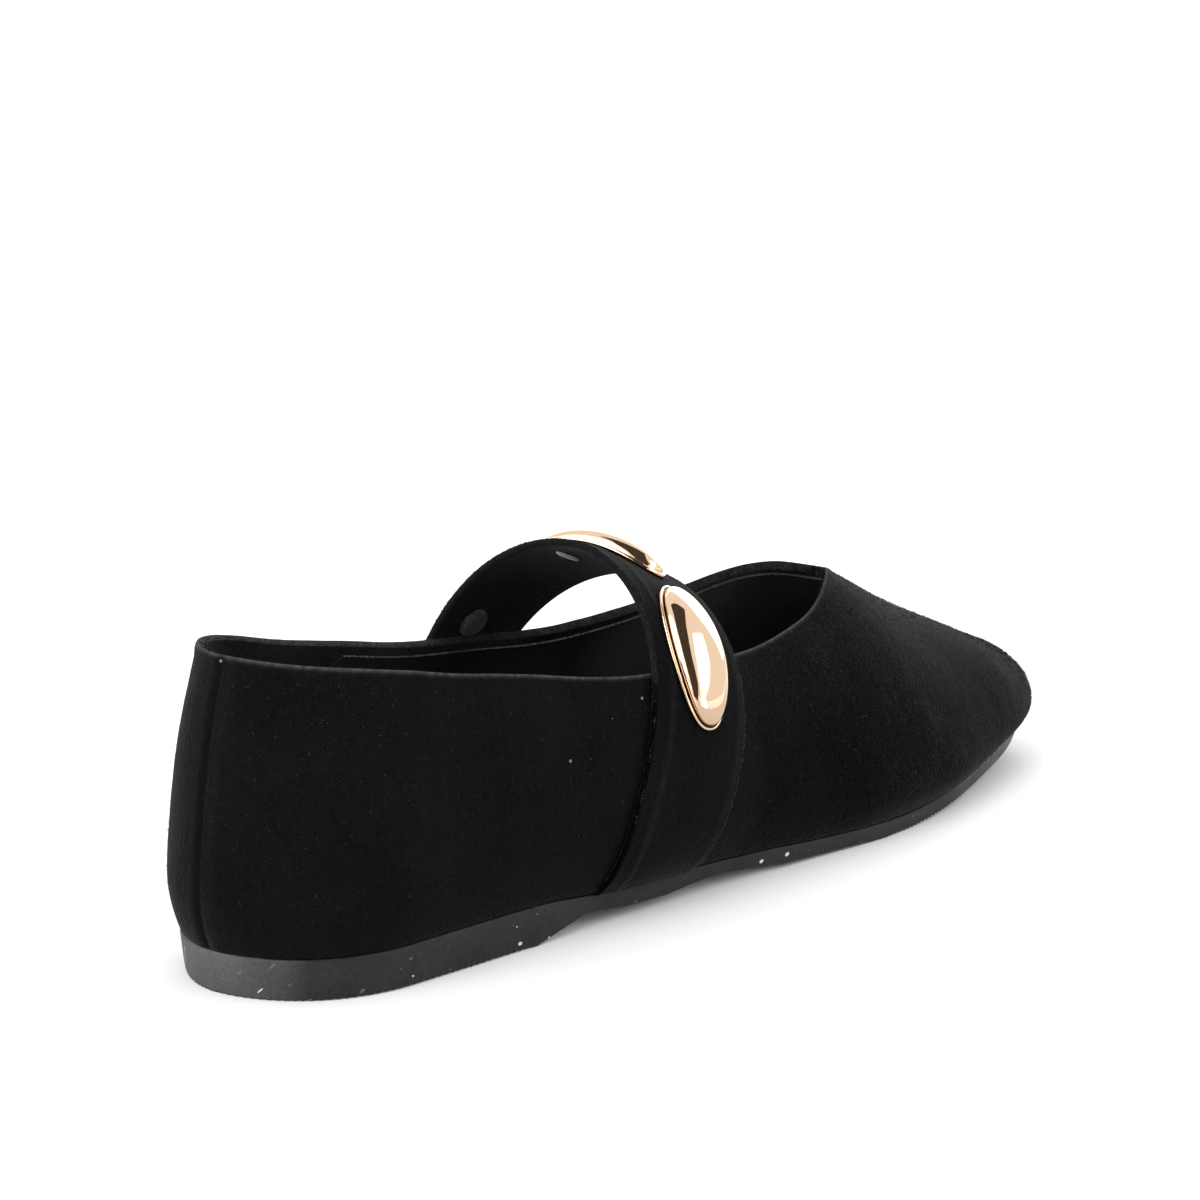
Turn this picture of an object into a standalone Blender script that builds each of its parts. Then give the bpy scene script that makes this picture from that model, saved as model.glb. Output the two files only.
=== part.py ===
"""Ballet flat with a strap over the instep: a right shoe, women's size, in black velvet.

It stands on its heel and forefoot with +Z up and the toe towards +X. The outer side of the foot is
at -Y and the inner side at +Y. Shapes are worked out in the shoe's own frame, where x runs from the
back of the sole to its toe, and the pieces hang from an empty that puts the middle at the origin.
"""

import math
from bisect import bisect_right
from collections import namedtuple

import bmesh
import bpy
from mathutils import Vector

# Sole, in metres
LENGTH = 0.248
BALL_WIDTH = 0.072
HEEL_ROUNDING = 0.027
TOE_ROUNDING = 0.0275
TOE_SQUARENESS = 2.3
HEEL_HEIGHT = 0.0082
FORE_THICKNESS = 0.0038
ARCH_LIFT = 0.0037
TOE_SPRING = 0.006
SOLE_TAPER = 0.0006

# Last and upper
LAST_HEIGHT = 0.094
LAST_FLARE = 0.010
EDGE_TUCK = 0.0024
HEEL_SWING = 0.0012
TOE_SWING = -0.001
WALL = 0.0018
INSOLE_THICKNESS = 0.0025

# Strap and its metal
STRAP_WIDTH = 0.0262
STRAP_THICKNESS = 0.0016
STRAP_PLACE = 0.102
STRAP_PLACE_HEIGHT = 0.048
STRAP_LEAN = math.radians(20.5)
STUD_LENGTH = 0.0304
STUD_WIDTH = 0.015
STUD_FRONT_SHARE = 0.44
STUD_TAPER = 0.14
STUD_POINT = 1.2
STUD_SWING = 0.0025
STUD_HEIGHT = 0.0042
STUD_RIM = 0.0009
STUD_SPACING = 0.0042
TOP_STUD_PLACE = 0.0018
TOP_STUD_OFFSET = -0.0014
SIDE_STUD_OFFSET = -0.0014
PRONG_LENGTH = 0.006
PRONG_WIDTH = 0.0016
PRONG_HEIGHT = 0.0005
PRONG_PLACE = 0.0065
PRONG_OFFSET = -0.0054
RIVET_DIAMETER = 0.0066
RIVET_HEIGHT = 0.0012
TRIM_RIM_SHARE = 0.5
RIVET_OFFSET = -0.0029
GAP = 0.0003

# Half widths of the sole's edge, as shares of half the ball width
Outline = namedtuple("Outline", "station outer inner")
OUTLINE = (
    Outline(0.00, 0.71, 0.66),
    Outline(0.08, 0.695, 0.70),
    Outline(0.18, 0.73, 0.74),
    Outline(0.30, 0.78, 0.725),
    Outline(0.42, 0.82, 0.75),
    Outline(0.54, 0.88, 0.82),
    Outline(0.66, 0.945, 0.97),
    Outline(0.76, 0.885, 1.02),
    Outline(0.86, 0.71, 0.94),
    Outline(0.94, 0.56, 0.70),
    Outline(1.00, 0.53, 0.45),
)

# seat: how much of the heel's extra height the sole's top keeps. arch: share of ARCH_LIFT below it
Profile = namedtuple("Profile", "station seat arch")
PROFILE = (
    Profile(0.00, 0.96, 0.0),
    Profile(0.235, 1.0, 0.0),
    Profile(0.29, 0.77, 1.0),
    Profile(0.335, 0.58, 0.62),
    Profile(0.38, 0.54, 0.56),
    Profile(0.43, 0.50, 0.82),
    Profile(0.505, 0.32, 0.53),
    Profile(0.52, 0.26, 0.27),
    Profile(0.56, 0.12, 0.20),
    Profile(0.61, 0.03, 0.12),
    Profile(0.65, 0.0, 0.0),
    Profile(1.00, 0.0, 0.0),
)
SPRING_START = 0.68
SPRING_CURVE = 1.35

# Each section of the last is one cubic curve from the sole's edge to the ridge over the foot.
# height: the ridge, of LAST_HEIGHT. rise: the lower handle, of the section's height.
# outer, inner: how far that handle stands out on each side, of LAST_FLARE.
# outer_crown, inner_crown: how far out the upper handle lies, of the distance to the sole's edge.
# The first and the last row are the same on both sides, so that the sides meet at the heel and toe.
Section = namedtuple("Section", "station height rise outer inner outer_crown inner_crown")
SECTIONS = (
    Section(0.12, 1.00, 0.37, 0.06, 0.06, 0.66, 0.66),
    Section(0.25, 0.855, 0.52, 0.37, 0.35, 0.57, 0.57),
    Section(0.40, 0.715, 0.61, 1.10, 1.25, 0.61, 0.71),
    Section(0.50, 0.615, 0.62, 0.62, 0.75, 0.56, 0.64),
    Section(0.60, 0.60, 0.45, 0.40, 0.40, 0.53, 0.53),
    Section(0.70, 0.58, 0.37, 0.30, 0.30, 0.50, 0.50),
    Section(0.80, 0.465, 0.38, 0.40, 0.40, 0.52, 0.52),
    Section(0.90, 0.355, 0.47, 0.46, 0.46, 0.66, 0.66),
)
HEEL_POLE = 0.12
TOE_POLE = 0.972
TUCK_TURN = 0.12

# The collar's edge on each side, from 0 at the sole's edge to 1 at the ridge, where the throat is
Collar = namedtuple("Collar", "station outer inner")
COLLAR = (
    Collar(0.00, 0.489, 0.489),
    Collar(0.06, 0.474, 0.477),
    Collar(0.185, 0.435, 0.429),
    Collar(0.33, 0.425, 0.411),
    Collar(0.447, 0.495, 0.450),
    Collar(0.553, 0.600, 0.600),
    Collar(0.642, 0.715, 0.745),
    Collar(0.707, 0.865, 0.865),
    Collar(0.739, 1.0, 1.0),
)

# How finely each shape is divided
SOLE_ROWS = 34
LEAST_ROW_STEP = 0.006
COLLAR_ROWS = 4
VAMP_ROWS = 12
TUCK_COLUMNS = 3
WALL_COLUMNS = 7
STRAP_ROWS = 6
STRAP_COLUMNS = 22
STRAP_STEPS = 60
COLLAR_STEPS = 8
HALVINGS = 36
STUD_POINTS = 28
RIVET_POINTS = 16
PRONG_POINTS = 12
DOME_SHARES = (0.92, 0.78, 0.58, 0.34, 0.12)
UNDER_SHARES = (0.75, 0.45)
SMALL_SWEEP = 0.0005
MEETING_DISTANCE = 0.000002

OUTER, INNER = -1, 1


def along(keys, values, at):
    """The smooth curve through the values, with each slope taken from the two neighbours."""
    at = min(max(at, keys[0]), keys[-1])
    low = min(bisect_right(keys, at), len(keys) - 1) - 1
    high = low + 1

    def slope(index):
        before, after = max(index - 1, 0), min(index + 1, len(keys) - 1)
        return (values[after] - values[before]) / (keys[after] - keys[before])

    span = keys[high] - keys[low]
    t = (at - keys[low]) / span
    return (
        (2 * t**3 - 3 * t**2 + 1) * values[low]
        + (t**3 - 2 * t**2 + t) * span * slope(low)
        + (3 * t**2 - 2 * t**3) * values[high]
        + (t**3 - t**2) * span * slope(high)
    )


def read(table, column, station):
    """One column of a table of sections, read smoothly at any station."""
    keys = [row.station for row in table]
    return along(keys, [getattr(row, column) for row in table], station)


def read_straight(table, column, station):
    """The same with straight runs, for a line that has corners."""
    for low, high in zip(table, table[1:]):
        if station <= high.station:
            share = (station - low.station) / (high.station - low.station)
            return getattr(low, column) * (1 - share) + getattr(high, column) * share
    return getattr(table[-1], column)


def station_of(sweep):
    """The sweep runs from 0 at the back of the heel to 1 at the toe and slows down at both ends."""
    return (1 - math.cos(math.pi * sweep)) / 2


def sweep_of(station):
    return math.acos(1 - 2 * station) / math.pi


def spring(station):
    return TOE_SPRING * max(0, (station - SPRING_START) / (1 - SPRING_START)) ** SPRING_CURVE


def seat_height(station):
    """Top of the sole, which carries the upper and the insole."""
    seat = read(PROFILE, "seat", station)
    return FORE_THICKNESS + (HEEL_HEIGHT - FORE_THICKNESS) * seat + spring(station)


def bottom_height(station):
    return ARCH_LIFT * read_straight(PROFILE, "arch", station) + spring(station)


def edge_point(sweep, side):
    """A point of the sole's top edge, with the heel and the toe rounded off."""
    station = station_of(sweep)
    x = station * LENGTH
    column = "outer" if side == OUTER else "inner"
    width = read(OUTLINE, column, station) * BALL_WIDTH / 2
    swing = HEEL_SWING if station < 0.5 else TOE_SWING
    full = 1.0
    if x < HEEL_ROUNDING:
        full = math.sqrt(max(0, 1 - (1 - x / HEEL_ROUNDING) ** 2))
    if x > LENGTH - TOE_ROUNDING:
        before_end = 1 - (LENGTH - x) / TOE_ROUNDING
        full = max(0, 1 - before_end**TOE_SQUARENESS) ** (1 / TOE_SQUARENESS)
    return Vector((x, side * width * full + swing * (1 - full), seat_height(station)))


def middle(station):
    """The ridge's place between the two sides."""
    inner = read(OUTLINE, "inner", station)
    return (inner - read(OUTLINE, "outer", station)) * BALL_WIDTH / 4


def toe_slope():
    """How fast the ridge falls between the last two sections, in metres a metre."""
    low, high = SECTIONS[-2:]
    return (low.height - high.height) * LAST_HEIGHT / ((high.station - low.station) * LENGTH)


def ridge_height(station):
    """Straight on beyond the last section, down to the toe."""
    beyond = max(0, station - SECTIONS[-1].station) * LENGTH
    return LAST_HEIGHT * read(SECTIONS, "height", station) - toe_slope() * beyond


def wall_point(sweep, turn, side):
    """A point of the last, outside the upper: turn 0 is the sole's edge and 1 the ridge."""
    station = station_of(sweep)
    ridge_station = min(max(station, HEEL_POLE), TOE_POLE)
    ridge = Vector((ridge_station * LENGTH, middle(ridge_station), ridge_height(ridge_station)))
    foot = edge_point(sweep, side)
    foot.z += GAP
    out = Vector((foot.x - ridge.x, foot.y - ridge.y, 0))
    reach = out.length + EDGE_TUCK
    out.normalize()
    tucked = max(0, 1 - turn / TUCK_TURN) ** 2 * EDGE_TUCK
    foot += out * EDGE_TUCK

    flare = read(SECTIONS, "outer" if side == OUTER else "inner", ridge_station) * LAST_FLARE
    rise = read(SECTIONS, "rise", ridge_station) * (ridge.z - foot.z)
    lower = foot + out * flare + Vector((0, 0, rise))
    crown_column = "outer_crown" if side == OUTER else "inner_crown"
    crown = read(SECTIONS, crown_column, ridge_station) * reach
    upper = ridge + out * crown
    if station > TOE_POLE:
        upper.z -= toe_slope() * out.x * crown

    back = 1 - turn
    point = foot * back**3 + lower * 3 * turn * back**2 + upper * 3 * turn**2 * back
    return point + ridge * turn**3 - out * tucked


def wall_normal(sweep, turn, side):
    """Straight out of the last."""
    step = SMALL_SWEEP
    forward = wall_point(sweep + step, turn, side) - wall_point(sweep - step, turn, side)
    upward = wall_point(sweep, turn + step, side) - wall_point(sweep, turn - step, side)
    return (forward.cross(upward) * -side).normalized()


def collar_place(count, side):
    """The sweep and turn at a place along the collar's rows, level at the back and at the throat."""
    sweeps = [sweep_of(row.station) for row in COLLAR]
    turns = [row.outer if side == OUTER else row.inner for row in COLLAR]
    sweeps = [-sweeps[1], *sweeps, sweeps[-2]]
    turns = [turns[1], *turns, 2 - turns[-2]]
    keys = list(range(-1, len(COLLAR) + 1))
    return along(keys, sweeps, count), min(along(keys, turns, count), 1.0)


def new_object(name, bm, material):
    mesh = bpy.data.meshes.new(name)
    bm.to_mesh(mesh)
    bm.free()
    mesh.shade_smooth()
    mesh.materials.append(material)
    piece = bpy.data.objects.new(name, mesh)
    shoe.objects.link(piece)
    piece.parent = middle_empty
    return piece


def skin(bm, rows, turned=False):
    """Quads between rows of points, each as long as the next."""
    grid = [[bm.verts.new(point) for point in row] for row in rows]
    for row, following in zip(grid, grid[1:]):
        for index in range(len(row) - 1):
            corners = [row[index], following[index], following[index + 1], row[index + 1]]
            bm.faces.new(corners[::-1] if turned else corners)


def join_up(bm):
    """Points that meet become one, so that a pole or a seam is closed."""
    bmesh.ops.remove_doubles(bm, verts=bm.verts, dist=MEETING_DISTANCE)
    bmesh.ops.dissolve_degenerate(bm, edges=bm.edges, dist=MEETING_DISTANCE / 2)


def make_material(name, colour, roughness, metallic=0.0):
    material = bpy.data.materials.new(name)
    material.use_nodes = True
    shader = material.node_tree.nodes["Principled BSDF"]
    shader.inputs["Base Color"].default_value = (*colour, 1)
    shader.inputs["Roughness"].default_value = roughness
    shader.inputs["Metallic"].default_value = metallic
    return material


def closed_solid(rings):
    """A solid from closed rings of points that shrink to a point or an edge at both ends."""
    bm = bmesh.new()
    skin(bm, [ring + ring[:1] for ring in rings])
    join_up(bm)
    bmesh.ops.recalc_face_normals(bm, faces=bm.faces)
    return bm


def make_outsole():
    """One moulded rubber unit: low heel with a sloping breast, thin waist, forefoot pad, toe spring."""
    stations = {station_of(row / SOLE_ROWS) for row in range(SOLE_ROWS + 1)}
    corners = [row.station for row in PROFILE]
    stations = {s for s in stations if all(abs(s - c) > LEAST_ROW_STEP for c in corners[1:-1])}
    stations.update(corners)
    shortening = 1 - 2 * SOLE_TAPER / LENGTH
    sections = []
    for station in sorted(stations):
        section = []
        for side in (OUTER, INNER):
            top = edge_point(sweep_of(station), side)
            x = LENGTH / 2 + (top.x - LENGTH / 2) * shortening
            y = math.copysign(max(0, abs(top.y) - SOLE_TAPER), top.y)
            bottom = Vector((x, y, bottom_height(station)))
            section += [bottom, top] if side == OUTER else [top, bottom]
        sections.append(section)
    rubber = make_material("sole_rubber", (0.035, 0.031, 0.028), 0.6)
    new_object("outsole", closed_solid(sections), rubber)


def make_insole():
    """A thin sheet on the sole, inside the upper's wall and clear of it."""
    inset = WALL + 2 * GAP
    step = 4 * SMALL_SWEEP
    sections = []
    for row in range(SOLE_ROWS + 1):
        sweep = row / SOLE_ROWS
        section = []
        for side in (OUTER, INNER):
            edge = edge_point(sweep, side)
            ahead = edge_point(min(sweep + step, 1), side) - edge_point(max(sweep - step, 0), side)
            out = Vector((ahead.y, -ahead.x, 0)).normalized() * -side
            if row in (0, SOLE_ROWS):
                out = Vector((-1 if row == 0 else 1, 0, 0))
            low = edge - out * inset
            low.z = edge.z + GAP
            high = low + Vector((0, 0, INSOLE_THICKNESS))
            section += [low, high] if side == OUTER else [high, low]
        sections.append(section)
    new_object("insole", closed_solid(sections), make_material("insole_lining", (0.02, 0.02, 0.02), 0.8))


def wall_turns(top):
    """The turns of one row of the upper, closer together where its foot curls under."""
    tuck = [TUCK_TURN * column / TUCK_COLUMNS for column in range(TUCK_COLUMNS)]
    rest = [TUCK_TURN + (top - TUCK_TURN) * c / WALL_COLUMNS for c in range(WALL_COLUMNS + 1)]
    return tuck + rest


def make_upper():
    """One shell over the last, open at the collar and underneath, where the sole closes it."""
    count = COLLAR_ROWS * (len(COLLAR) - 1)
    bm = bmesh.new()
    for side in (OUTER, INNER):
        places = [collar_place(row / COLLAR_ROWS, side) for row in range(count + 1)]
        throat = places[-1][0]
        for row in range(1, VAMP_ROWS + 1):
            places.append((throat + (1 - throat) * row / VAMP_ROWS, 1.0))
        rows = [[wall_point(sweep, turn, side) for turn in wall_turns(top)] for sweep, top in places]
        skin(bm, rows, turned=side == INNER)
    join_up(bm)
    piece = new_object("upper", bm, make_material("velvet", (0.008, 0.008, 0.009), 0.95))
    wall = piece.modifiers.new("wall", "SOLIDIFY")
    wall.thickness = WALL
    wall.offset = -1


def strap_sweep(across, turn, side):
    """The sweep at which the last lies this far from the strap's leaning middle plane."""
    low, high = 0.2, 0.8
    for _ in range(HALVINGS):
        sweep = (low + high) / 2
        point = wall_point(sweep, turn, side)
        ahead = (point.x - STRAP_PLACE) * math.cos(STRAP_LEAN)
        ahead -= (point.z - STRAP_PLACE_HEIGHT) * math.sin(STRAP_LEAN)
        low, high = (sweep, high) if ahead < across else (low, sweep)
    return sweep


def strap_face_point(across, turn, side, lift=0.0):
    """A point of the strap's inner face, or that much further out."""
    sweep = strap_sweep(across, turn, side)
    normal = wall_normal(sweep, turn, side)
    return wall_point(sweep, turn, side) + normal * (GAP + lift)


def strap_run():
    """Distance from the ridge down each side of the strap, as (turn, distance) pairs by side."""
    run = {}
    for side in (OUTER, INNER):
        pairs = [(1.0, 0.0)]
        last = strap_face_point(0, 1.0, side)
        for step in range(1, STRAP_STEPS + 1):
            turn = 1 - step / STRAP_STEPS
            point = strap_face_point(0, turn, side)
            pairs.append((turn, pairs[-1][1] + (point - last).length))
            last = point
        run[side] = pairs
    return run


def on_strap(run, place, across, lift):
    """A point over the strap, place metres from the ridge: outer side below zero, inner above."""
    side = OUTER if place < 0 else INNER
    for (turn, near), (next_turn, far) in zip(run[side], run[side][1:]):
        if abs(place) <= far:
            share = (abs(place) - near) / (far - near)
            return strap_face_point(across, turn + (next_turn - turn) * share, side, lift)
    return strap_face_point(across, 0.0, side, lift)


def make_strap():
    """A folded band from the outer edge of the sole, over the foot, to the inner edge."""
    turns = [TUCK_TURN * c / TUCK_COLUMNS for c in range(TUCK_COLUMNS)]
    turns += [TUCK_TURN + (1 - TUCK_TURN) * c / STRAP_COLUMNS for c in range(STRAP_COLUMNS + 1)]
    places = [(turn, OUTER) for turn in turns] + [(turn, INNER) for turn in turns[-2::-1]]
    rows = []
    for row in range(STRAP_ROWS + 1):
        across = STRAP_WIDTH * (row / STRAP_ROWS - 0.5)
        rows.append([strap_face_point(across, turn, side) for turn, side in places])
    bm = bmesh.new()
    skin(bm, rows)
    piece = new_object("strap", bm, make_material("strap_velvet", (0.01, 0.01, 0.011), 0.92))
    wall = piece.modifiers.new("wall", "SOLIDIFY")
    wall.thickness = STRAP_THICKNESS
    wall.offset = 1


def domed_piece(surface, outline, rim, height):
    """A dome on a curved face: rings out from its top to the outline, then in under it."""
    rings = [(0.0, height)]
    for share in reversed(DOME_SHARES):
        rings.append((share, rim + (height - rim) * math.sqrt(1 - share**2)))
    rings += [(1.0, rim), (1.0, 0.0)]
    rings += [(share, 0.0) for share in (*UNDER_SHARES, 0.0)]
    return closed_solid([[surface(a * share, b * share, lift) for a, b in outline] for share, lift in rings])


def oval_outline(length, width, points):
    outline = []
    for index in range(points):
        angle = 2 * math.pi * index / points
        outline.append((length / 2 * math.cos(angle), width / 2 * math.sin(angle)))
    return outline


def stud_outline():
    """A leaf with pointed ends, fuller behind than in front, and its lower end swung forward."""
    outline = []
    for a, b in oval_outline(STUD_LENGTH, STUD_WIDTH, STUD_POINTS):
        share = STUD_FRONT_SHARE if b > 0 else 1 - STUD_FRONT_SHARE
        upward = 2 * a / STUD_LENGTH
        point = abs(2 * b / STUD_WIDTH) ** (STUD_POINT - 1)
        swing = STUD_SWING * ((1 - upward) / 2) ** 2
        outline.append((a, b * 2 * share * point * (1 + STUD_TAPER * upward) + swing))
    return outline


def make_stud(name, run, place, offset):
    """A polished cast metal dome, set on the strap's outer face."""
    base = STRAP_THICKNESS + GAP

    def surface(a, b, lift):
        return on_strap(run, place + a, offset + b, base + lift)

    dome = domed_piece(surface, stud_outline(), STUD_RIM, STUD_HEIGHT)
    new_object(name, dome, make_material(name + "_gold", (0.83, 0.56, 0.40), 0.12, 1.0))


def make_prong(run):
    """The clenched metal end of the top stud, seen on the strap's inner face."""

    def surface(a, b, lift):
        return on_strap(run, PRONG_PLACE + a, PRONG_OFFSET + b, -GAP - lift)

    outline = oval_outline(PRONG_WIDTH, PRONG_LENGTH, PRONG_POINTS)
    dome = domed_piece(surface, outline, PRONG_HEIGHT * TRIM_RIM_SHARE, PRONG_HEIGHT)
    new_object("stud_prong", dome, make_material("prong_steel", (0.8, 0.8, 0.8), 0.25, 1.0))


def collar_on_strap(run, side, across):
    """How far down the strap's side its inner face meets the collar's edge."""
    count = COLLAR_STEPS * (len(COLLAR) - 1)
    edge = sorted(collar_place(index / COLLAR_STEPS, side) for index in range(count + 1))
    sweeps = [sweep for sweep, turn in edge]
    turns = [turn for sweep, turn in edge]
    for turn, distance in run[side]:
        if turn <= along(sweeps, turns, strap_sweep(across, turn, side)):
            return distance
    return run[side][-1][1]


def make_rivet(run):
    """A covered round rivet on the strap's inner face, just above the inner side's collar."""
    place = collar_on_strap(run, INNER, RIVET_OFFSET) - RIVET_DIAMETER / 2 - 2 * GAP

    def surface(a, b, lift):
        return on_strap(run, place + a, RIVET_OFFSET + b, -GAP - lift)

    outline = oval_outline(RIVET_DIAMETER, RIVET_DIAMETER, RIVET_POINTS)
    dome = domed_piece(surface, outline, RIVET_HEIGHT * TRIM_RIM_SHARE, RIVET_HEIGHT)
    new_object("strap_rivet", dome, make_material("rivet_cloth", (0.02, 0.02, 0.022), 0.7))


for old in list(bpy.data.objects):
    bpy.data.objects.remove(old)
shoe = bpy.data.collections.new("ballet_flat")
bpy.context.scene.collection.children.link(shoe)

middle_empty = bpy.data.objects.new("shoe_middle", None)
shoe.objects.link(middle_empty)

make_outsole()
make_insole()
make_upper()
make_strap()
strap_lengths = strap_run()
side_stud_place = TOP_STUD_PLACE - STUD_LENGTH - STUD_SPACING
make_stud("stud_side", strap_lengths, side_stud_place, SIDE_STUD_OFFSET)
make_stud("stud_top", strap_lengths, TOP_STUD_PLACE, TOP_STUD_OFFSET)
make_prong(strap_lengths)
make_rivet(strap_lengths)

# The middle of the box around all the pieces goes to the origin
bpy.context.view_layer.update()
meshes = [piece for piece in shoe.objects if piece.type == "MESH"]
box_corners = [Vector(corner) for piece in meshes for corner in piece.bound_box]
for axis in (0, 1):
    lowest = min(corner[axis] for corner in box_corners)
    highest = max(corner[axis] for corner in box_corners)
    middle_empty.location[axis] = -(lowest + highest) / 2
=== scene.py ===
"""A right women's ballet flat in black velvet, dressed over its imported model.

Shapes are worked out in the shoe's own frame, in metres: x runs from the back of the sole to the
toe, the outer side of the foot is at -y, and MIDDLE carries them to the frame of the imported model.
"""

import math

import bmesh
import bpy
import numpy as np
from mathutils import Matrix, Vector, noise


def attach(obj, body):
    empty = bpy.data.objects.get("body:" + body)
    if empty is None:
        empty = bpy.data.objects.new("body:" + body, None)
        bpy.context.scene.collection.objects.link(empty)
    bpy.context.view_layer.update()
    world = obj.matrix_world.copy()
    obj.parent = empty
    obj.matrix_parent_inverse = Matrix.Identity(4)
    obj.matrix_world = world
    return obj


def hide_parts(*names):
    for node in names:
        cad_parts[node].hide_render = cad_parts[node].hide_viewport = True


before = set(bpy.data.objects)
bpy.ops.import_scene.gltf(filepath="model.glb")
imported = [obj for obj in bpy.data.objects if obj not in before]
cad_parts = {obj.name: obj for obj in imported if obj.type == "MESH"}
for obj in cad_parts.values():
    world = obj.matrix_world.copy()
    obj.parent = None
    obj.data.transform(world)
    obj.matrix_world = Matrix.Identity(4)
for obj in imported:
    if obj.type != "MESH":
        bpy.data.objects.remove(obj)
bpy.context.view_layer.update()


# Rubber sole.
# One moulded unit, cemented under the lasted upper: a low heel, a thin waist and a forefoot pad,
# with fine ribs across the parts that meet the floor and a sanded side wall.
MIDDLE = np.array((-0.124778, -0.000785, 0.0))
OUTER, INNER = -1, 1
SOLE_LENGTH = 0.248
HALF_BALL = 0.036
HEEL_CURVE, TOE_CURVE, TOE_SQUARENESS = 0.027, 0.0275, 2.3
HEEL_TOP, FORE_TOP = 0.0082, 0.0038
ARCH, SPRING, SPRING_FROM = 0.0037, 0.006, 0.68
SIDE_SLOPE, HEEL_SWING, TOE_SWING = 0.0006, 0.0012, 0.001
# Half widths of the top edge, as shares of HALF_BALL, at shares of the sole's length.
EDGE_STATION = (0.0, 0.08, 0.18, 0.30, 0.42, 0.54, 0.66, 0.76, 0.86, 0.94, 1.0)
EDGE_OUTER = (0.71, 0.695, 0.73, 0.78, 0.82, 0.88, 0.945, 0.885, 0.71, 0.56, 0.53)
EDGE_INNER = (0.66, 0.70, 0.74, 0.725, 0.75, 0.82, 0.97, 1.02, 0.94, 0.70, 0.45)
# How much of the heel's seat, and of the arch below it, is left at shares of the length.
SIDE_STATION = (0.0, 0.235, 0.29, 0.335, 0.38, 0.43, 0.505, 0.52, 0.56, 0.61, 0.65, 1.0)
SEAT_SHARE = (0.96, 1.0, 0.77, 0.58, 0.54, 0.50, 0.32, 0.26, 0.12, 0.03, 0.0, 0.0)
ARCH_SHARE = (0.0, 0.0, 1.0, 0.62, 0.56, 0.82, 0.53, 0.27, 0.20, 0.12, 0.0, 0.0)
RIB_PITCH, RIB_DEPTH = 0.0016, 0.00035
HEEL_RIBS_END, FORE_RIBS_START = 0.232, 0.655


def curve_through(keys, values, at):
    """The smooth curve through the values, with each slope taken from the two neighbours."""
    keys, values = np.asarray(keys, float), np.asarray(values, float)
    at = np.clip(np.asarray(at, float), keys[0], keys[-1])
    low = np.clip(np.searchsorted(keys, at, side="right") - 1, 0, len(keys) - 2)
    index = np.arange(len(keys))
    before, after = np.maximum(index - 1, 0), np.minimum(index + 1, len(keys) - 1)
    slope = (values[after] - values[before]) / (keys[after] - keys[before])
    span = keys[low + 1] - keys[low]
    t = (at - keys[low]) / span
    return (
        (2 * t**3 - 3 * t**2 + 1) * values[low]
        + (t**3 - 2 * t**2 + t) * span * slope[low]
        + (3 * t**2 - 2 * t**3) * values[low + 1]
        + (t**3 - t**2) * span * slope[low + 1]
    )


def station_of(sweep):
    """Share of the sole's length at a sweep, which turns evenly round from the heel to the toe."""
    return (1 - np.cos(np.pi * np.asarray(sweep, float))) / 2


def toe_lift(station):
    return SPRING * np.maximum(0, (station - SPRING_FROM) / (1 - SPRING_FROM)) ** 1.35


def sole_edge(sweep, side):
    """The sole's top edge, from the back of the heel at sweep 0 round to the toe at 1."""
    station = station_of(sweep)
    x = station * SOLE_LENGTH
    width = curve_through(EDGE_STATION, EDGE_OUTER if side == OUTER else EDGE_INNER, station)
    heel = np.sqrt(np.clip(1 - np.maximum(0, 1 - x / HEEL_CURVE) ** 2, 0, 1))
    ahead = np.maximum(0, 1 - (SOLE_LENGTH - x) / TOE_CURVE)
    toe = np.clip(1 - ahead**TOE_SQUARENESS, 0, 1) ** (1 / TOE_SQUARENESS)
    swing = np.where(station < 0.5, HEEL_SWING * (1 - heel), -TOE_SWING * (1 - toe))
    y = side * width * HALF_BALL * heel * toe + swing
    z = FORE_TOP + (HEEL_TOP - FORE_TOP) * curve_through(SIDE_STATION, SEAT_SHARE, station)
    return np.stack((x, y, z + toe_lift(station)), -1)


def across(one, two, share):
    """The line between two lines: on the first one at share 1, on the second one at -1."""
    return one * (0.5 + share / 2) + two * (0.5 - share / 2)


def sheet_of(points, around=False, tone=0.0):
    """A grid of faces moved to a grid of points; around joins its long edges, tone paints light or shade at
    each point.
    """
    rows, columns = points.shape[:2]
    bm = bmesh.new()
    layer = bm.loops.layers.uv.new("run")
    shading = bm.verts.layers.float.new("tone")
    tones = np.broadcast_to(np.asarray(tone, float), (rows, columns))
    bmesh.ops.create_grid(bm, x_segments=rows - 1, y_segments=columns - 1, size=1)
    run = np.zeros((rows, columns, 2))
    middle = columns // 2
    run[1:, :, 0] = np.cumsum(np.linalg.norm(np.diff(points[:, middle], axis=0), axis=1))[:, None]
    run[:, 1:, 1] = np.cumsum(np.linalg.norm(np.diff(points, axis=1), axis=2), axis=1)
    place = {}
    for vert in bm.verts:
        i = round((vert.co.x + 1) / 2 * (rows - 1))
        j = round((vert.co.y + 1) / 2 * (columns - 1))
        place[vert] = (i, j)
        vert.co = points[i, j]
        vert[shading] = tones[i, j]
    for face in bm.faces:
        for loop in face.loops:
            loop[layer].uv = run[place[loop.vert]]
    if around:
        bmesh.ops.remove_doubles(bm, verts=bm.verts, dist=2e-6)
        bmesh.ops.dissolve_degenerate(bm, edges=bm.edges, dist=1e-6)
        bmesh.ops.recalc_face_normals(bm, faces=bm.faces)
        if bm.calc_volume(signed=True) < 0:
            bmesh.ops.reverse_faces(bm, faces=bm.faces)
    return bm


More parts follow.
